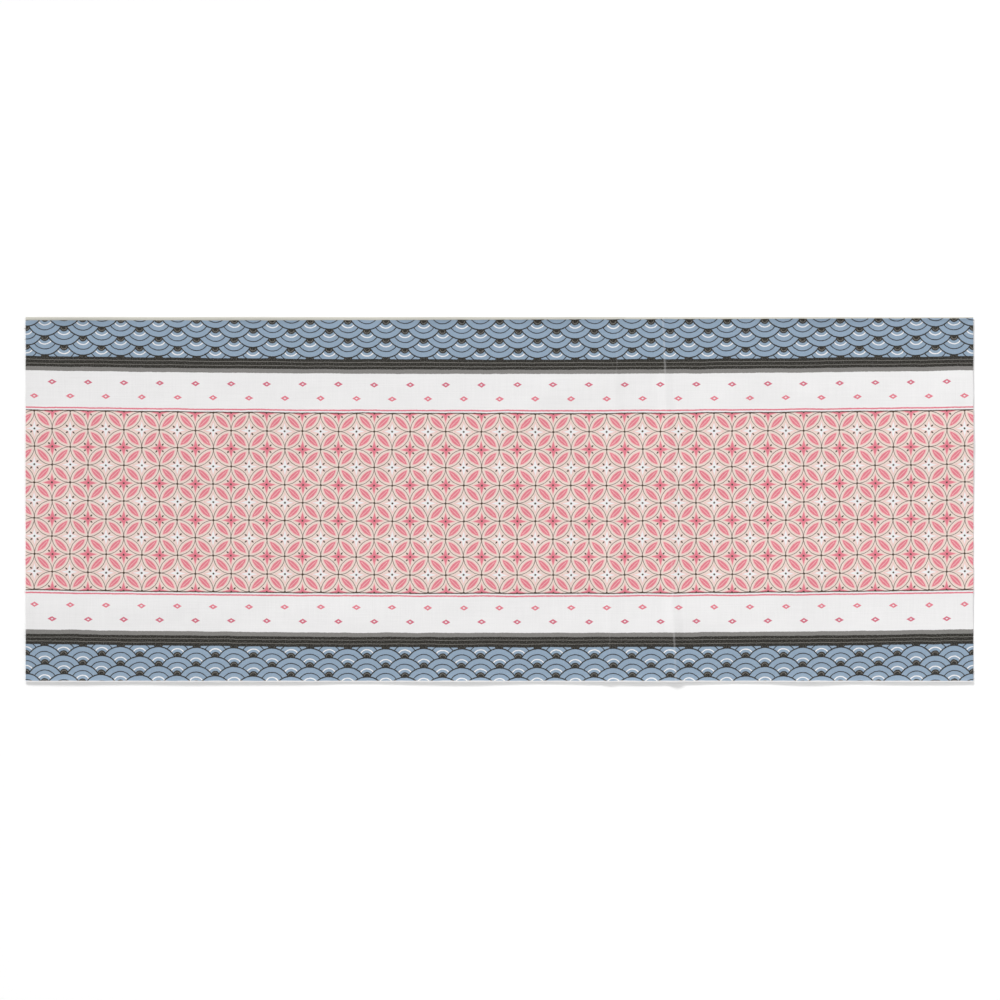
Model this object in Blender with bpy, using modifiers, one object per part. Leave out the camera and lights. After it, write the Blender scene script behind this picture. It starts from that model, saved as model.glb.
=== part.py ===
# A tenugui towel: one length of narrow plain-weave cotton, unfolded and lying flat.
# Metres, +Z up. X runs along the towel, Y across it, and the surface it lies on is z = 0.

from collections import namedtuple
from math import cos, pi

import bmesh
import bpy
from mathutils import Vector

# The cut length, the loom width, and a thickness that stands for the cloth with its fuzz and air.
LENGTH = 0.900
WIDTH = 0.347
THICKNESS = 0.001

# Spacing of the grid that the cloth is shaped on.
CELL = 0.012

# Where the towel was folded it keeps a soft ridge right across its width, not quite square to the edges
# and flatter towards its upper one. Each size is given at the lower and at the upper long edge.
Crease = namedtuple("Crease", "name lower_x upper_x lower_height upper_height half_width")
CREASES = (
    Crease("faint_crease", 0.1037, 0.1126, 0.0006, 0.0004, 0.009),
    Crease("main_crease", 0.1675, 0.1554, 0.0016, 0.0010, 0.010),
)

# Elsewhere it lifts off the surface in a few broad, low swells.
# It lies flat between them and at its corners.
Swell = namedtuple("Swell", "name x y half_x half_y height")
SWELLS = (
    Swell("left_end", -0.415, -0.055, 0.045, 0.135, 0.0009),
    Swell("left_upper", -0.235, 0.110, 0.070, 0.090, 0.0006),
    Swell("left_lower", -0.130, -0.125, 0.085, 0.065, 0.0007),
    Swell("middle_upper", 0.025, 0.110, 0.060, 0.085, 0.0006),
    Swell("right_lower", 0.275, -0.075, 0.060, 0.120, 0.0007),
    Swell("right_end", 0.425, 0.065, 0.050, 0.095, 0.0010),
)

# Across a crease the grid has lines at its foot, half way up and along its crest.
CREASE_SHARES = (-1.0, -0.5, 0.0, 0.5, 1.0)

PRINTED_COTTON = {"colour": (0.815, 0.658, 0.604, 1.0), "roughness": 0.9, "metallic": 0.0}


def clear_scene():
    for obj in list(bpy.data.objects):
        bpy.data.objects.remove(obj, do_unlink=True)


def collection_named(name):
    collection = bpy.data.collections.new(name)
    bpy.context.scene.collection.children.link(collection)
    return collection


def cloth_material(name, look):
    material = bpy.data.materials.new(name)
    material.use_nodes = True
    shader = material.node_tree.nodes["Principled BSDF"]
    shader.inputs["Base Color"].default_value = look["colour"]
    shader.inputs["Roughness"].default_value = look["roughness"]
    shader.inputs["Metallic"].default_value = look["metallic"]
    return material


def between(start, end, share):
    return start + (end - start) * share


def soft_hump(distance):
    """1 on the crest, falling smoothly to 0 at a distance of 1 and staying there."""
    return 0.5 * (1 + cos(pi * distance)) if distance < 1 else 0.0


def crease_lift(crease, x, y):
    across = y / WIDTH + 0.5
    crest_x = between(crease.lower_x, crease.upper_x, across)
    height = between(crease.lower_height, crease.upper_height, across)
    return height * soft_hump(abs(x - crest_x) / crease.half_width)


def swell_lift(swell, x, y):
    away = Vector(((x - swell.x) / swell.half_x, (y - swell.y) / swell.half_y))
    return swell.height * soft_hump(away.length)


def underside(x, y):
    """Height of the cloth's underside above the surface: 0 wherever it lies flat."""
    creases = max(crease_lift(crease, x, y) for crease in CREASES)
    swells = max(swell_lift(swell, x, y) for swell in SWELLS)
    return max(creases, swells)


def grid_lines():
    """The grid's crosswise lines, left to right, each as its x at the lower and at the upper long edge."""
    marks = [Vector((-LENGTH / 2, -LENGTH / 2))]
    for crease in CREASES:
        for share in CREASE_SHARES:
            shift = share * crease.half_width
            marks.append(Vector((crease.lower_x + shift, crease.upper_x + shift)))
    marks.append(Vector((LENGTH / 2, LENGTH / 2)))
    lines = marks[:1]
    for before, after in zip(marks, marks[1:]):
        steps = max(1, round((after.x - before.x) / CELL))
        lines += [before.lerp(after, step / steps) for step in range(1, steps + 1)]
    return lines


def make_towel(collection):
    """The towel as a grid shaped to its underside and thickened upwards."""
    lines = grid_lines()
    columns = len(lines) - 1
    rows = round(WIDTH / CELL)
    mesh = bpy.data.meshes.new("towel")
    grid = bmesh.new()
    bmesh.ops.create_grid(grid, x_segments=columns, y_segments=rows, size=1.0)
    for vertex in grid.verts:
        lower_x, upper_x = lines[round((vertex.co.x + 1) / 2 * columns)]
        across = (vertex.co.y + 1) / 2
        x = between(lower_x, upper_x, across)
        y = between(-WIDTH / 2, WIDTH / 2, across)
        vertex.co = (x, y, underside(x, y))
    grid.to_mesh(mesh)
    grid.free()
    mesh.shade_smooth()
    mesh.materials.append(cloth_material("printed_cotton", PRINTED_COTTON))
    towel = bpy.data.objects.new("towel", mesh)
    collection.objects.link(towel)
    thicken = towel.modifiers.new("thickness", "SOLIDIFY")
    thicken.thickness = THICKNESS
    thicken.offset = 1.0
    thicken.use_even_offset = True


clear_scene()
make_towel(collection_named("tenugui_towel"))
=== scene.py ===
# A printed cotton tenugui towel, unfolded and lying flat on a pale floor, seen from straight above.
# The frame is in metres, +Z up, with X along the towel. The surface it lies on is z = 0.

from collections import namedtuple
from math import cos, pi, sqrt
from random import Random

import bpy
from mathutils import Color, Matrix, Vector, noise


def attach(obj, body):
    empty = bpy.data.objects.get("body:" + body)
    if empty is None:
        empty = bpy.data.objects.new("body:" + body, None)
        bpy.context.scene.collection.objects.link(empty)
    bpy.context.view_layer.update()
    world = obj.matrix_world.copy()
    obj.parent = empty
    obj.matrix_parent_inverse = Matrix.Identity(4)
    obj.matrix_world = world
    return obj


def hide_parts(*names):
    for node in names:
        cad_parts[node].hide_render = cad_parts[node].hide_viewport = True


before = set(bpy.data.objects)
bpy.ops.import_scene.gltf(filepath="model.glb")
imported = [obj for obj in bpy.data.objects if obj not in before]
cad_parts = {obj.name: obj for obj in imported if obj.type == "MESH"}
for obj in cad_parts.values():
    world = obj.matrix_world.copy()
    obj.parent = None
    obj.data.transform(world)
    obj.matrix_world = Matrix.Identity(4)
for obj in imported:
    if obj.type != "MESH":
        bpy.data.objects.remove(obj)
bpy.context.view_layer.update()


# The towel is one length of narrow plain-weave cotton, half a millimetre thick, bleached white and
# screen-printed on its face. Its long edges are selvedges, and its short ends are cut across and left
# unhemmed. It lies flat apart from its old folds, a few low swells and a slight curl at its edges.

LENGTH = 0.900
WIDTH = 0.347
CLOTH_THICKNESS = 0.0005

# A fold leaves a soft ridge right across the towel, not quite square to its edges, with a sharper crest
# where the yarns were bent. Its places and heights are given at the lower and at the upper long edge.
# The print is rubbed thin along the crest: wear is the share of the dye that is gone.
Crease = namedtuple(
    "Crease", "lower_x upper_x lower_height upper_height half_width crest_height wear worn_width"
)
FAINT_CREASE = Crease(0.1037, 0.1126, 0.0004, 0.0003, 0.009, 0.00004, 0.05, 0.0020)
MAIN_CREASE = Crease(0.1675, 0.1554, 0.0011, 0.0008, 0.010, 0.00013, 0.15, 0.0028)
CREASES = (FAINT_CREASE, MAIN_CREASE)
CREST_HALF_WIDTH = 0.0018

# Elsewhere the cloth lifts off the surface in a few broad, low swells, here from left to right.
Swell = namedtuple("Swell", "x y half_x half_y height")
SWELLS = (
    Swell(-0.415, -0.055, 0.045, 0.135, 0.0009),
    Swell(-0.235, 0.110, 0.070, 0.090, 0.0006),
    Swell(-0.130, -0.125, 0.085, 0.065, 0.0007),
    Swell(0.025, 0.110, 0.060, 0.085, 0.0006),
    Swell(0.275, -0.075, 0.060, 0.120, 0.0007),
    Swell(0.425, 0.065, 0.050, 0.095, 0.0010),
)

# Small ripples stand up here and there all over it, long ones and short ones.
Ripple = namedtuple("Ripple", "length_along length_across height seed")
RIPPLES = (
    Ripple(0.085, 0.046, 0.00060, 3),
    Ripple(0.032, 0.019, 0.00015, 11),
)

# All round it the edge curls up a little, in some places more than in others.
EDGE_CURL = 0.0010
USUAL_CURL_SHARE = 0.5
EDGE_CURL_WIDTH = 0.009
EDGE_CURL_PATCH = 0.090
EDGE_CURL_SEED = 17

# Edges and crests wander a little from a straight line. A waver's length is how far one bend of it reaches.
Waver = namedtuple("Waver", "size length seed")
CREST_WAVER = Waver(0.00040, 0.018, 5)
CUT_END_WAVER = Waver(0.00035, 0.022, 20)
SELVEDGE_WAVER = Waver(0.00018, 0.060, 30)

# The selvedge is woven more densely, so the cloth is thicker there.
SELVEDGE_WIDTH = 0.0032
SELVEDGE_THICKNESS = 0.0007

# The mesh is fine where a fold crosses it and along the selvedges, and coarse where the cloth is plain.
FineZone = namedtuple("FineZone", "start end cell")
COARSE_CELL = 0.0028
SELVEDGE_ZONE_WIDTH = 0.004
FOLD_ZONES = (
    FineZone(0.0947, 0.1216, 0.0012),
    FineZone(0.1454, 0.1775, 0.0008),
)
SELVEDGE_ZONES = (
    FineZone(-WIDTH / 2, -WIDTH / 2 + SELVEDGE_ZONE_WIDTH, 0.0008),
    FineZone(WIDTH / 2 - SELVEDGE_ZONE_WIDTH, WIDTH / 2, 0.0008),
)


def between(start, end, share):
    return start + (end - start) * share


def soft_hump(distance):
    """1 on the crest, falling smoothly to 0 at a distance of 1 and staying there."""
    return 0.5 * (1 + cos(pi * distance)) if distance < 1 else 0.0


def wavering(waver, place, line=0.0):
    """How far a line of the cloth has wandered at a place along it. Each line wanders its own way."""
    return waver.size * noise.noise(Vector((place / waver.length, line, waver.seed)))


def crease_lift(crease, x, y):
    across = y / WIDTH + 0.5
    off_crest = x - between(crease.lower_x, crease.upper_x, across)
    height = between(crease.lower_height, crease.upper_height, across)
    ridge = height * soft_hump(abs(off_crest) / crease.half_width)
    off_bend = off_crest + wavering(CREST_WAVER, y)
    return ridge + crease.crest_height * soft_hump(abs(off_bend) / CREST_HALF_WIDTH)


def swell_lift(swell, x, y):
    away = Vector(((x - swell.x) / swell.half_x, (y - swell.y) / swell.half_y))
    return swell.height * soft_hump(away.length)


def ripple_lift(ripple, x, y):
    place = Vector((x / ripple.length_along, y / ripple.length_across, ripple.seed))
    return ripple.height * max(0.0, noise.noise(place))


def edge_lift(x, y):
    from_edge = min(LENGTH / 2 - abs(x), WIDTH / 2 - abs(y))
    place = Vector((x / EDGE_CURL_PATCH, y / EDGE_CURL_PATCH, EDGE_CURL_SEED))
    strength = max(0.0, USUAL_CURL_SHARE + noise.noise(place))
    return EDGE_CURL * strength * soft_hump(from_edge / EDGE_CURL_WIDTH)


def underside(x, y):
    """Height of the cloth's underside above the surface."""
    creases = max(crease_lift(crease, x, y) for crease in CREASES)
    swells = max(swell_lift(swell, x, y) for swell in SWELLS)
    ripples = sum(ripple_lift(ripple, x, y) for ripple in RIPPLES)
    return max(creases, swells) + ripples + edge_lift(x, y)


def grid_places(start, end, fine_zones):
    """Places of the grid's lines from start to end, closer together in the fine zones."""
    places = [start]
    while places[-1] < end:
        here = places[-1]
        fine_cells = [zone.cell for zone in fine_zones if zone.start <= here < zone.end]
        places.append(here + (fine_cells[0] if fine_cells else COARSE_CELL))
    fit = (end - start) / (places[-1] - start)
    return [start + (place - start) * fit for place in places]


columns = grid_places(-LENGTH / 2, LENGTH / 2, FOLD_ZONES)
rows = grid_places(-WIDTH / 2, WIDTH / 2, SELVEDGE_ZONES)
last_column = len(columns) - 1
last_row = len(rows) - 1

# The grid starts one metre square, and each of its lines then moves to its place on the cloth.
bpy.ops.object.select_all(action="DESELECT")
bpy.ops.mesh.primitive_grid_add(x_subdivisions=last_column, y_subdivisions=last_row, size=1.0)
towel_cloth = bpy.context.object
towel_cloth.name = "towel_cloth"
towel_mesh = towel_cloth.data
towel_mesh.name = "towel_cloth"
selvedges = towel_cloth.vertex_groups.new(name="selvedges")

for vertex in towel_mesh.vertices:
    column = round((vertex.co.x + 0.5) * last_column)
    row = round((vertex.co.y + 0.5) * last_row)
    x = columns[column]
    y = rows[row]
    from_edge = WIDTH / 2 - abs(y)
    selvedges.add([vertex.index], soft_hump(abs(2 * from_edge / SELVEDGE_WIDTH - 1)), "REPLACE")
    height = underside(x, y)
    if column in (0, last_column):
        x += wavering(CUT_END_WAVER, y, line=column)
    if row in (0, last_row):
        y += wavering(SELVEDGE_WAVER, x, line=row)
    vertex.co = (x, y, height)

# The cloth's own map gives every point its place on the flat cloth, in metres from its middle.
cloth_map = towel_mesh.uv_layers[0]
cloth_map.name = "cloth"
for corner, mapped in zip(towel_mesh.loops, cloth_map.data):
    mapped.uv = towel_mesh.vertices[corner.vertex_index].co.xy

thicken = towel_cloth.modifiers.new("thickness", "SOLIDIFY")
thicken.thickness = SELVEDGE_THICKNESS
thicken.vertex_group = selvedges.name
thicken.thickness_vertex_group = CLOTH_THICKNESS / SELVEDGE_THICKNESS
thicken.offset = 1.0
thicken.use_even_offset = True
bpy.ops.object.modifier_apply(modifier=thicken.name)

# A second map, for baking, lays the face, the back and the thin sides out apart from each other. Each fills
# a band right across the map, from its low to its high.
MapBand = namedtuple("MapBand", "low high")
FACE_BAND = MapBand(0.000, 0.560)
BACK_BAND = MapBand(0.570, 0.940)
LOWER_SIDE_BAND = MapBand(0.950, 0.958)
UPPER_SIDE_BAND = MapBand(0.963, 0.971)
LEFT_SIDE_BAND = MapBand(0.976, 0.984)
RIGHT_SIDE_BAND = MapBand(0.989, 0.997)

# A polygon counts as face or back where the upright part of its normal is more than this, and as a thin
# side elsewhere.
UPRIGHT_PART = 0.5


def baking_place(normal, place, share_up):
    """Where a face's corner goes on the baking map. share_up is 1 at a thin side's top and 0 at its foot."""
    share_along = min(max(place.x / LENGTH + 0.5, 0.0), 1.0)
    share_across = min(max(place.y / WIDTH + 0.5, 0.0), 1.0)
    if abs(normal.z) > UPRIGHT_PART:
        band = FACE_BAND if normal.z > 0 else BACK_BAND
        return Vector((share_along, between(band.low, band.high, share_across)))
    if abs(normal.y) > abs(normal.x):
        band = UPPER_SIDE_BAND if normal.y > 0 else LOWER_SIDE_BAND
        return Vector((share_along, between(band.low, band.high, share_up)))
    band = RIGHT_SIDE_BAND if normal.x > 0 else LEFT_SIDE_BAND
    return Vector((share_across, between(band.low, band.high, share_up)))


# The faces of the back are marked, because the print only shows through there.
back_mark = towel_mesh.attributes.new("back", "FLOAT", "FACE")
baking_map = towel_mesh.uv_layers.new(name="OFBake", do_init=False)
for face in towel_mesh.polygons:
    back_mark.data[face.index].value = 1.0 if face.normal.z < -UPRIGHT_PART else 0.0
    for index in face.loop_indices:
        place = towel_mesh.vertices[towel_mesh.loops[index].vertex_index].co
        share_up = 1.0 if place.z > face.center.z else 0.0
        baking_map.data[index].uv = baking_place(face.normal, place, share_up)

# A new map can move the others in memory, so the cloth's own map is looked up again.
cloth_map = towel_mesh.uv_layers["cloth"]
cloth_map.active = True
cloth_map.active_render = True
bpy.ops.object.shade_smooth_by_angle(angle=pi / 4)

# The dyes are flat, and sink into the yarns, so a printed edge is a little soft and uneven. The print is
# an arrangement of old patterns: linked rings with stars, rows of lozenges, and waves.
printed_cotton = bpy.data.materials.new("printed_cotton")
printed_cotton.use_nodes = True
cotton_nodes = printed_cotton.node_tree.nodes
cotton_links = printed_cotton.node_tree.links


class Amount:
    """A number that varies over the cloth. Arithmetic on it adds Math nodes to the cotton's material."""

    def __init__(self, socket):
        self.socket = socket

    def __add__(self, other):
        return calculated("ADD", self, other)

    def __radd__(self, other):
        return calculated("ADD", other, self)

    def __sub__(self, other):
        return calculated("SUBTRACT", self, other)

    def __rsub__(self, other):
        return calculated("SUBTRACT", other, self)

    def __mul__(self, other):
        return calculated("MULTIPLY", self, other)

    def __rmul__(self, other):
        return calculated("MULTIPLY", other, self)

    def __truediv__(self, other):
        return calculated("DIVIDE", self, other)

    def __abs__(self):
        return calculated("ABSOLUTE", self)


def feed(entry, value):
    """Give a node's input a fixed value, or link it to what another node gives."""
    if isinstance(value, Amount):
        value = value.socket
    if isinstance(value, bpy.types.NodeSocket):
        cotton_links.new(value, entry)
    else:
        entry.default_value = value


def calculated(operation, *values, clamp=False):
    """The amount that one Math node makes from others. With clamp it stays between 0 and 1."""
    node = cotton_nodes.new("ShaderNodeMath")
    node.operation = operation
    node.use_clamp = clamp
    for entry, value in zip(node.inputs, values):
        feed(entry, value)
    return Amount(node.outputs["Value"])


def length_of(x, y):
    return calculated("SQRT", x * x + y * y)


def folded(value, size):
    """Rises from 0 to size and falls back to 0, over and over."""
    return calculated("PINGPONG", value, size)


def chosen(switch, off_value, on_value):
    """One value where the switch is 0, and the other where it is 1."""
    return off_value + switch * (on_value - off_value)


# Every size in the print is in millimetres. A printed shape is given by a distance that grows outwards
# across it, and by the limit that the distance has on its outline.
DYE_EDGE = 0.35


def within(distance, limit):
    """1 inside a shape's outline and 0 outside it, with the dye's soft edge between."""
    return calculated("ADD", (limit - distance) / DYE_EDGE, 0.5, clamp=True)


def lozenge(x, y, half_length, half_width):
    """A distance that is half_width on the outline of a lozenge."""
    return abs(x) * (half_width / half_length) + abs(y)


# Places on the flat cloth, from its middle.
MILLIMETRES_PER_METRE = 1000
cloth_place = cotton_nodes.new("ShaderNodeUVMap")
cloth_place.uv_map = "cloth"
cloth_axes = cotton_nodes.new("ShaderNodeSeparateXYZ")
feed(cloth_axes.inputs["Vector"], cloth_place.outputs["UV"])
along = Amount(cloth_axes.outputs["X"]) * MILLIMETRES_PER_METRE
across = Amount(cloth_axes.outputs["Y"]) * MILLIMETRES_PER_METRE
HALF_LENGTH = LENGTH / 2 * MILLIMETRES_PER_METRE
HALF_WIDTH = WIDTH / 2 * MILLIMETRES_PER_METRE


def patches(size_along, size_across, seed, detail=2.0):
    """A random amount from about -0.5 to 0.5, in patches of this size."""
    place = cotton_nodes.new("ShaderNodeCombineXYZ")
    feed(place.inputs["X"], along / size_along)
    feed(place.inputs["Y"], across / size_across)
    feed(place.inputs["Z"], seed)
    texture = cotton_nodes.new("ShaderNodeTexNoise")
    feed(texture.inputs["Vector"], place.outputs["Vector"])
    feed(texture.inputs["Scale"], 1.0)
    feed(texture.inputs["Detail"], detail)
    return (Amount(texture.outputs["Fac"]) - 0.5) * 2


# The yarns don't run quite straight: they drift slowly, and each is a little kinked.
DRIFT = 0.9
DRIFT_LENGTH = 30
KINK = 0.35
KINK_LENGTH = 2.4


def out_of_true(seed):
    """How far the yarns have moved from their straight lines."""
    drift = patches(DRIFT_LENGTH, DRIFT_LENGTH, seed)
    kink = patches(KINK_LENGTH, KINK_LENGTH, seed + 1)
    return DRIFT * drift + KINK * kink


yarn_x = along + out_of_true(seed=1.0)
yarn_y = across + out_of_true(seed=3.0)

# The print moves with the yarns. It lies on the cloth in a shallow bow, lowest at the towel's middle.
BOW = 3.5
end_share = along / HALF_LENGTH
print_x = yarn_x
print_y = yarn_y + BOW * (1 - end_share * end_share)
from_middle = abs(print_y)


def dye(red, green, blue):
    """A dye's colour on the cloth, each part from 0 to 255 as a screen shows it."""
    return (*Color((red / 255, green / 255, blue / 255)).from_srgb_to_scene_linear(), 1.0)


WHITE = dye(232, 231, 231)
# The grey-beige below is painted only in the darker strip along the upper selvedge.
GREY_BEIGE = dye(200, 198, 188)
PINK = dye(230, 210, 201)
PALE_ROSE = dye(236, 182, 181)
ROSE = dye(220, 121, 136)
DEEP_ROSE = dye(205, 106, 126)
BROWN = dye(74, 57, 45)
SLATE_BLUE = dye(140, 160, 180)
CHARCOAL = dye(41, 39, 34)
FADED_CHARCOAL = dye(112, 109, 104)
GREY = dye(127, 125, 122)


def printed(under, colour, where):
    """Lay a colour over what is there already, as strongly as where says, from 0 to 1."""
    node = cotton_nodes.new("ShaderNodeMix")
    node.data_type = "RGBA"
    entries = {entry.identifier: entry for entry in node.inputs}
    feed(entries["Factor_Float"], where)
    feed(entries["A_Color"], under)
    feed(entries["B_Color"], colour)
    results = {result.identifier: result for result in node.outputs}
    return results["Result_Color"]


# The middle field is covered with linked rings. Where two of them overlap lies a lens with a pale outline
# and a pale line along it. A point is measured from the middle of its own ring and of the ring beyond.
RING_RADIUS = 17.0
RING_LINE = 0.54
LENS_INSET = 2.7
LENS_OUTLINE = 0.7
LENS_LINE = 0.6
LENS_LINE_INSET = 3.7
field_x = folded(print_x, RING_RADIUS)
field_y = folded(print_y, RING_RADIUS)
odd_ring = calculated("GREATER_THAN", field_x + field_y, RING_RADIUS)
ring_x = chosen(odd_ring, field_x, RING_RADIUS - field_x)
ring_y = chosen(odd_ring, field_y, RING_RADIUS - field_y)
ring_beyond = length_of(RING_RADIUS - ring_x, RING_RADIUS - ring_y)
off_lens_line = abs(ring_x + ring_y - RING_RADIUS) / sqrt(2)
lens_line = within(off_lens_line, LENS_LINE / 2) * within(ring_beyond, RING_RADIUS - LENS_LINE_INSET)
pattern = printed(PINK, BROWN, within(abs(ring_beyond - RING_RADIUS), RING_LINE / 2))
pattern = printed(pattern, PALE_ROSE, within(ring_beyond, RING_RADIUS - LENS_INSET + LENS_OUTLINE))
pattern = printed(pattern, ROSE, within(ring_beyond, RING_RADIUS - LENS_INSET))
pattern = printed(pattern, PALE_ROSE, lens_line)

# A four-pointed star stands in each ring, white and rose by turns, with a brown eye and four small brown
# lozenges between its points. A brown knot is where four rings meet.
STAR_POINT = 8.2
STAR_WAIST = 2.3
STAR_OUTLINE = 0.45
STAR_EYE = 0.95
KNOT = 1.5
Spark = namedtuple("Spark", "middle half_length half_width")
SPARK = Spark(4.3, 1.7, 0.9)
star_x = calculated("MAXIMUM", ring_x, ring_y)
star_y = calculated("MINIMUM", ring_x, ring_y)
star = lozenge(star_x, star_y, STAR_POINT, STAR_WAIST)
star_colour = printed(WHITE, ROSE, odd_ring)
spark_x = (star_x + star_y) / sqrt(2) - SPARK.middle
spark_y = (star_x - star_y) / sqrt(2)
spark = lozenge(spark_x, spark_y, SPARK.half_length, SPARK.half_width)
knot = lozenge(RING_RADIUS - star_x, star_y, KNOT, KNOT)
pattern = printed(pattern, BROWN, within(spark, SPARK.half_width))
pattern = printed(pattern, PALE_ROSE, within(star, STAR_WAIST + STAR_OUTLINE))
pattern = printed(pattern, star_colour, within(star, STAR_WAIST))
pattern = printed(pattern, BROWN, within(length_of(ring_x, ring_y), STAR_EYE))
pattern = printed(pattern, BROWN, within(knot, KNOT))

# Stripes run the whole length, alike on both sides of the middle line. Each covers all that lies beyond
# its start, so the next one ends it.
Stripe = namedtuple("Stripe", "start colour")
STRIPES = (
    Stripe(85.0, BROWN),
    Stripe(86.0, WHITE),
    Stripe(87.4, ROSE),
    Stripe(88.8, WHITE),
    Stripe(123.0, GREY),
    Stripe(127.0, CHARCOAL),
    Stripe(129.7, FADED_CHARCOAL),
    Stripe(130.3, CHARCOAL),
    Stripe(133.4, FADED_CHARCOAL),
    Stripe(134.0, CHARCOAL),
)
for stripe in STRIPES:
    pattern = printed(pattern, stripe.colour, 1 - within(from_middle, stripe.start))

# On the wide white stripe lie two rows of small lozenges, one shifted half a pitch from the other.
LozengeRow = namedtuple("LozengeRow", "from_middle shift colour")
LOZENGE_ROWS = (
    LozengeRow(99.2, 0.0, ROSE),
    LozengeRow(112.6, 17.0, DEEP_ROSE),
)
LOZENGE_PITCH = 34.0
LOZENGE_HALF_LENGTH = 4.2
LOZENGE_HALF_WIDTH = 2.5
LOZENGE_HEART = 0.8
for lozenge_row in LOZENGE_ROWS:
    lozenge_x = calculated("WRAP", print_x + lozenge_row.shift, LOZENGE_PITCH / 2, -LOZENGE_PITCH / 2)
    lozenge_y = from_middle - lozenge_row.from_middle
    small_lozenge = lozenge(lozenge_x, lozenge_y, LOZENGE_HALF_LENGTH, LOZENGE_HALF_WIDTH)
    pattern = printed(pattern, lozenge_row.colour, within(small_lozenge, LOZENGE_HALF_WIDTH))
    pattern = printed(pattern, WHITE, within(small_lozenge, LOZENGE_HEART))

# Waves fill the border, in rows that overlap like fish scales, each wave with rings inside it. A point
# belongs to the frontmost of the three waves that can reach it, and is measured from that one's middle.
# The table gives the radius at which each colour starts, going inwards.
WAVES_START = 136.8
WAVE_RADIUS = 18.0
WAVE_ROW = WAVE_RADIUS / 2
WaveRing = namedtuple("WaveRing", "radius colour")
WAVE_RINGS = (
    WaveRing(16.8, SLATE_BLUE),
    WaveRing(12.2, CHARCOAL),
    WaveRing(11.3, SLATE_BLUE),
    WaveRing(7.6, WHITE),
    WaveRing(6.6, SLATE_BLUE),
    WaveRing(4.2, CHARCOAL),
    WaveRing(3.0, FADED_CHARCOAL),
    WaveRing(2.4, CHARCOAL),
)
from_print_edge = HALF_WIDTH - from_middle
wave_row = calculated("FLOOR", from_print_edge / WAVE_ROW)
odd_row = folded(wave_row, 1.0)
wave_x = folded(print_x, WAVE_RADIUS)
own_x = chosen(odd_row, wave_x, WAVE_RADIUS - wave_x)
own_y = from_print_edge - wave_row * WAVE_ROW
neighbour_x = WAVE_RADIUS - own_x
front_wave = length_of(neighbour_x, own_y + WAVE_ROW)
own_wave = length_of(own_x, own_y)
back_wave = length_of(neighbour_x, own_y - WAVE_ROW)
in_front_wave = calculated("LESS_THAN", front_wave, WAVE_RADIUS)
in_own_wave = calculated("LESS_THAN", own_wave, WAVE_RADIUS)
wave = chosen(in_front_wave, chosen(in_own_wave, back_wave, own_wave), front_wave)
waves = CHARCOAL
for ring in WAVE_RINGS:
    waves = printed(waves, ring.colour, within(wave, ring.radius))
pattern = printed(pattern, waves, 1 - within(from_middle, WAVES_START))

# Along the upper selvedge the code paints a darker grey-beige strip, which gets narrower from a quarter of
# the way along to the right end. The print stops just short of the lower selvedge, and the bare strip there
# is white.
UPPER_STRIP_LEFT = 3.0
UPPER_STRIP_RIGHT = 1.0
UPPER_STRIP_TURN = -218.0
WHITE_STRIP = 1.6
STRIP_WANDER = 0.5
STRIP_WANDER_LENGTH = 14
taper = calculated("DIVIDE", along - UPPER_STRIP_TURN, HALF_LENGTH - UPPER_STRIP_TURN, clamp=True)
upper_wander = STRIP_WANDER * patches(STRIP_WANDER_LENGTH, STRIP_WANDER_LENGTH, seed=5.0)
white_wander = STRIP_WANDER * patches(STRIP_WANDER_LENGTH, STRIP_WANDER_LENGTH, seed=6.0)
upper_strip = chosen(taper, UPPER_STRIP_LEFT, UPPER_STRIP_RIGHT) + upper_wander
white_strip = WHITE_STRIP + white_wander
pattern = printed(pattern, GREY_BEIGE, within(HALF_WIDTH - across, upper_strip))
pattern = printed(pattern, WHITE, within(HALF_WIDTH + across, white_strip))

# Along a fold the dye is rubbed thin, in some places more than in others.
FOLD_WANDER = 0.9
FOLD_WANDER_LENGTH = 9
LEAST_RUBBED = 0.4
USUAL_EXTRA_RUBBED = 0.65
RUB_CONTRAST = 1.3
RUB_LENGTH_ALONG = 3
RUB_LENGTH_ACROSS = 5
for number, crease in enumerate(CREASES):
    crest_x = (crease.lower_x + crease.upper_x) / 2 * MILLIMETRES_PER_METRE
    slant = (crease.upper_x - crease.lower_x) / WIDTH
    fold_wander = FOLD_WANDER * patches(FOLD_WANDER_LENGTH, FOLD_WANDER_LENGTH, seed=7.0 + number)
    off_fold = abs(along - crest_x - slant * across + fold_wander)
    worn_half_width = crease.worn_width / 2 * MILLIMETRES_PER_METRE
    rubbed = calculated("SUBTRACT", 1, off_fold / worn_half_width, clamp=True)
    rub = RUB_CONTRAST * patches(RUB_LENGTH_ALONG, RUB_LENGTH_ACROSS, seed=9.0 + number)
    uneven = calculated("ADD", USUAL_EXTRA_RUBBED, rub, clamp=True)
    pattern = printed(pattern, WHITE, crease.wear * rubbed * (LEAST_RUBBED + uneven))

# Tiny spots between the yarns took less dye than the rest.
THIN_DYE = 0.24
SPOT_LENGTH = 1.2
SPOT_WIDTH = 0.9
spots = patches(SPOT_LENGTH, SPOT_WIDTH, seed=14.0, detail=3.0)
thin_spots = calculated("MULTIPLY", spots, THIN_DYE, clamp=True)
pattern = printed(pattern, WHITE, thin_spots)

# On the back the print only shows through.
PALER_BACK = 0.42
back = cotton_nodes.new("ShaderNodeAttribute")
back.attribute_name = back_mark.name
pattern = printed(pattern, WHITE, Amount(back.outputs["Fac"]) * PALER_BACK)

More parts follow.
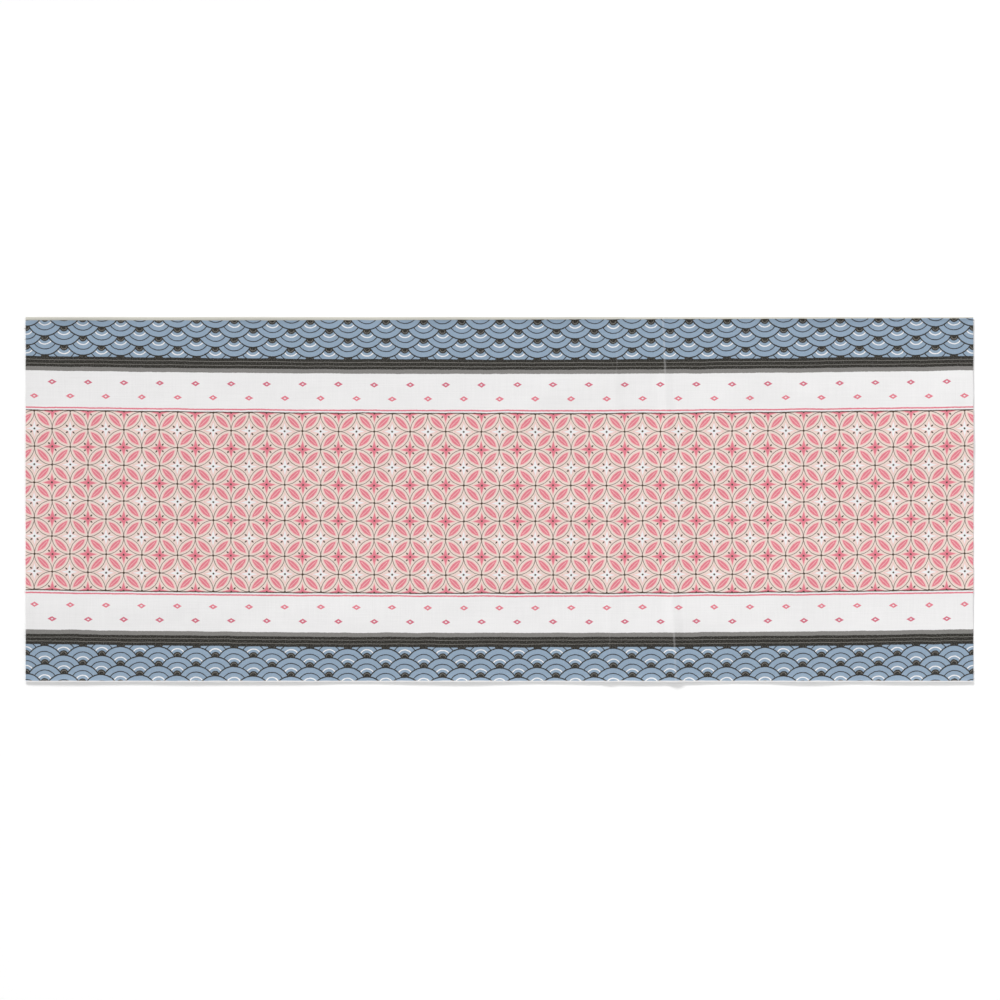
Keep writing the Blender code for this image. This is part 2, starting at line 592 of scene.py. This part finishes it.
# Plain weave: each yarn goes over and under those that cross it. Some yarns are thicker than others, along
# the towel and across it, and take the dye a little differently. The whole length is a little mottled.
WEAVE_PITCH = 0.46
THICK_YARN_WIDTH = 1.1
LENGTHWISE_SLUB = 38
CROSSWISE_SLUB = 30
MOTTLE_LENGTH = 46
MOTTLE_WIDTH = 34
THICK_YARN_TONE = 0.040
MOTTLE_TONE = 0.030
# The next two values paint the weave's shade into the colour: darker in the gaps between the yarns, lighter
# on their crests.
GAP_PAINTED_SHADE = 0.95
WEAVE_SHADE_RANGE = 0.08
lengthwise_yarns = calculated("SINE", yarn_y * (pi / WEAVE_PITCH))
crosswise_yarns = calculated("SINE", yarn_x * (pi / WEAVE_PITCH))
over = 0.5 + 0.5 * (lengthwise_yarns * crosswise_yarns)
weave = calculated("MAXIMUM", abs(lengthwise_yarns) * over, abs(crosswise_yarns) * (1 - over))
lengthwise_slubs = patches(LENGTHWISE_SLUB, THICK_YARN_WIDTH, seed=11.0)
crosswise_slubs = patches(THICK_YARN_WIDTH, CROSSWISE_SLUB, seed=12.0)
thick_yarns = lengthwise_slubs + crosswise_slubs
mottle = patches(MOTTLE_LENGTH, MOTTLE_WIDTH, seed=13.0)
# The colour's tone is the thick yarns' and the mottle's dye, times the weave's painted shade.
dye_tone_and_weave_shade = (1 + THICK_YARN_TONE * thick_yarns + MOTTLE_TONE * mottle) * (GAP_PAINTED_SHADE + WEAVE_SHADE_RANGE * weave)
toned_with_weave_shade = cotton_nodes.new("ShaderNodeVectorMath")
toned_with_weave_shade.operation = "SCALE"
feed(toned_with_weave_shade.inputs["Vector"], pattern)
feed(toned_with_weave_shade.inputs["Scale"], dye_tone_and_weave_shade)

# The yarns stand in relief. Their height is in metres.
YARN_RELIEF = 0.00007
THICK_YARN_RELIEF = 0.9
RELIEF_STRENGTH = 0.6
relief = cotton_nodes.new("ShaderNodeBump")
feed(relief.inputs["Strength"], RELIEF_STRENGTH)
feed(relief.inputs["Distance"], YARN_RELIEF)
feed(relief.inputs["Height"], weave + THICK_YARN_RELIEF * thick_yarns)

# The cloth is matte, with a trace of sheen from its fuzz.
ROUGHNESS = 0.88
MOTTLE_ROUGHNESS = 0.10
SPECULAR = 0.20
SHEEN = 0.05
SHEEN_ROUGHNESS = 0.6
cotton = cotton_nodes["Principled BSDF"]
feed(cotton.inputs["Base Color"], toned_with_weave_shade.outputs["Vector"])
feed(cotton.inputs["Roughness"], ROUGHNESS + MOTTLE_ROUGHNESS * mottle)
feed(cotton.inputs["Normal"], relief.outputs["Normal"])
feed(cotton.inputs["Specular IOR Level"], SPECULAR)
feed(cotton.inputs["Sheen Weight"], SHEEN)
feed(cotton.inputs["Sheen Roughness"], SHEEN_ROUGHNESS)
towel_mesh.materials.clear()
towel_mesh.materials.append(printed_cotton)

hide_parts("towel")
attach(towel_cloth, "root")


# At the two cut ends the outermost cross yarns have dropped away, and the ends of the long yarns stick out
# as a very short, soft fringe. Each is the same cotton yarn, a little bent, coloured by the print beside it.

YARNS_PER_END = 600
YARN_RADIUS = 0.00013
YARN_TUCK = 0.0008
USUAL_REACH = 0.0007
LONG_REACH = 0.0019
LONG_YARN_SHARE = 0.04
LEAST_REACH_SHARE = 0.4
YARN_SWAY = 0.5
YARN_TIP_HEIGHT = 0.00016
LEAST_DROP_SHARE = 0.3
YARN_GAP_SHARE = 0.1

# The yarn is made one metre long, in steps that get thinner towards its tip. Each copy is shortened to its
# own reach.
YarnStep = namedtuple("YarnStep", "length thinning")
YARN_STEPS = (
    YarnStep(0.45, 1.00),
    YarnStep(0.35, 0.90),
    YarnStep(0.20, 0.45),
)

bpy.ops.object.select_all(action="DESELECT")
bpy.ops.mesh.primitive_circle_add(vertices=5, radius=YARN_RADIUS, fill_type="NGON", rotation=(0, pi / 2, 0))
bpy.ops.object.transform_apply(rotation=True)
yarn = bpy.context.object
bpy.ops.object.mode_set(mode="EDIT")
bpy.ops.mesh.select_all(action="SELECT")
for step in YARN_STEPS:
    bpy.ops.mesh.extrude_region_move(TRANSFORM_OT_translate={"value": (step.length, 0, 0)})
    bpy.ops.transform.resize(value=(1, step.thinning, step.thinning))
bpy.ops.mesh.select_all(action="SELECT")
bpy.ops.mesh.normals_make_consistent(inside=False)
bpy.ops.object.mode_set(mode="OBJECT")
yarn.data.uv_layers[0].name = "cloth"
yarn.data.materials.append(printed_cotton)


def yarn_end(side, y, chance):
    """A copy of the yarn at one place of a cut end. side is -1 at the left end and 1 at the right one."""
    copy = yarn.copy()
    copy.data = yarn.data.copy()
    bpy.context.collection.objects.link(copy)
    longest = LONG_REACH if chance.random() < LONG_YARN_SHARE else USUAL_REACH
    reach = longest * chance.uniform(LEAST_REACH_SHARE, 1.0)
    sway = reach * chance.uniform(-YARN_SWAY, YARN_SWAY)
    root = Vector((LENGTH / 2 - YARN_TUCK, y, underside(side * LENGTH / 2, y) + CLOTH_THICKNESS / 2))
    drop = max(0.0, root.z - YARN_TIP_HEIGHT) * chance.uniform(LEAST_DROP_SHARE, 1.0)
    for vertex in copy.data.vertices:
        bend = vertex.co.x ** 2
        x = side * (root.x + (YARN_TUCK + reach) * vertex.co.x)
        vertex.co = (x, root.y + vertex.co.y + sway * bend, root.z + vertex.co.z - drop * bend)
    for mapped in copy.data.uv_layers["cloth"].data:
        mapped.uv = (side * LENGTH / 2, y)
    if side < 0:
        copy.data.flip_normals()
    return copy


fray = Random(4)
yarn_copies = []
for side in (-1, 1):
    for number in range(YARNS_PER_END):
        share = (number + fray.uniform(YARN_GAP_SHARE, 1 - YARN_GAP_SHARE)) / YARNS_PER_END
        yarn_copies.append(yarn_end(side, between(-WIDTH / 2, WIDTH / 2, share), fray))
bpy.data.objects.remove(yarn, do_unlink=True)

bpy.ops.object.select_all(action="DESELECT")
for copy in yarn_copies:
    copy.select_set(True)
bpy.context.view_layer.objects.active = yarn_copies[0]
bpy.ops.object.join()
yarn_ends = bpy.context.object
yarn_ends.name = "yarn_ends"
yarn_ends.data.name = "yarn_ends"
bpy.ops.object.shade_smooth_by_angle(angle=pi / 3)

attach(yarn_ends, "root")


# The floor is one wide, matte, nearly white surface that the towel lies on. It is a hair lower than the
# towel's underside, so that the two never coincide.

FLOOR_SIZE = 40.0
FLOOR_DEPTH = 0.00005
FLOOR_WHITE = 0.98

bpy.ops.object.select_all(action="DESELECT")
bpy.ops.mesh.primitive_plane_add(size=FLOOR_SIZE, location=(0, 0, -FLOOR_DEPTH))
floor = bpy.context.object
floor.name = "floor"
floor_paint = bpy.data.materials.new("floor_paint")
floor_paint.use_nodes = True
matte = floor_paint.node_tree.nodes["Principled BSDF"]
matte.inputs["Base Color"].default_value = (FLOOR_WHITE, FLOOR_WHITE, FLOOR_WHITE, 1.0)
matte.inputs["Roughness"].default_value = 1.0
matte.inputs["Specular IOR Level"].default_value = 0.0
floor.data.materials.append(floor_paint)


# The light is plain and soft: white walls all round under a dimmer ceiling, a low soft key from beyond the
# upper left corner, and a weak soft box above the right end, which makes that end slightly brighter.

WALL_LIGHT = 0.92
CEILING_LIGHT = 0.40

studio = bpy.data.worlds.new("studio")
studio.use_nodes = True
bpy.context.scene.world = studio
studio_nodes = studio.node_tree.nodes
studio_links = studio.node_tree.links
direction = studio_nodes.new("ShaderNodeTexCoord")
direction_axes = studio_nodes.new("ShaderNodeSeparateXYZ")
brightness = studio_nodes.new("ShaderNodeMapRange")
brightness.inputs["To Min"].default_value = WALL_LIGHT
brightness.inputs["To Max"].default_value = CEILING_LIGHT
background = studio_nodes["Background"]
background.inputs["Color"].default_value = (1.0, 1.0, 1.0, 1.0)
studio_links.new(direction.outputs["Generated"], direction_axes.inputs["Vector"])
studio_links.new(direction_axes.outputs["Z"], brightness.inputs["Value"])
studio_links.new(brightness.outputs["Result"], background.inputs["Strength"])


def stand_lamp(lamp, place):
    """Stand a lamp at a place, facing the middle of the towel."""
    stand = bpy.data.objects.new(lamp.name, lamp)
    stand.location = place
    stand.rotation_euler = Vector(place).to_track_quat("Z", "Y").to_euler()
    bpy.context.scene.collection.objects.link(stand)


key = bpy.data.lights.new("key", "SUN")
key.energy = 3.5
key.angle = 0.22
stand_lamp(key, (-0.9, 2.6, 0.95))

right_box = bpy.data.lights.new("right_box", "AREA")
right_box.shape = "SQUARE"
right_box.size = 1.2
right_box.energy = 7.0
stand_lamp(right_box, (0.9, 0.2, 1.9))


# The camera looks straight down, with the towel in the same place in the frame as in the photograph: its
# middle is half a pixel to the left of the frame's middle and a quarter of a pixel above it. FRAME_PIXEL
# is what one pixel covers of the towel, in metres.

FRAME_PIXEL = 0.0009504
FRAME_PIXELS = 1000

camera = bpy.data.cameras.new("camera")
camera.lens = 100
camera.sensor_width = 36
camera_height = FRAME_PIXELS * FRAME_PIXEL * camera.lens / camera.sensor_width
camera_stand = bpy.data.objects.new("camera", camera)
camera_stand.location = (0.50 * FRAME_PIXEL, -0.25 * FRAME_PIXEL, camera_height)
bpy.context.scene.collection.objects.link(camera_stand)
bpy.context.scene.camera = camera_stand
bpy.context.scene.view_settings.view_transform = "Standard"
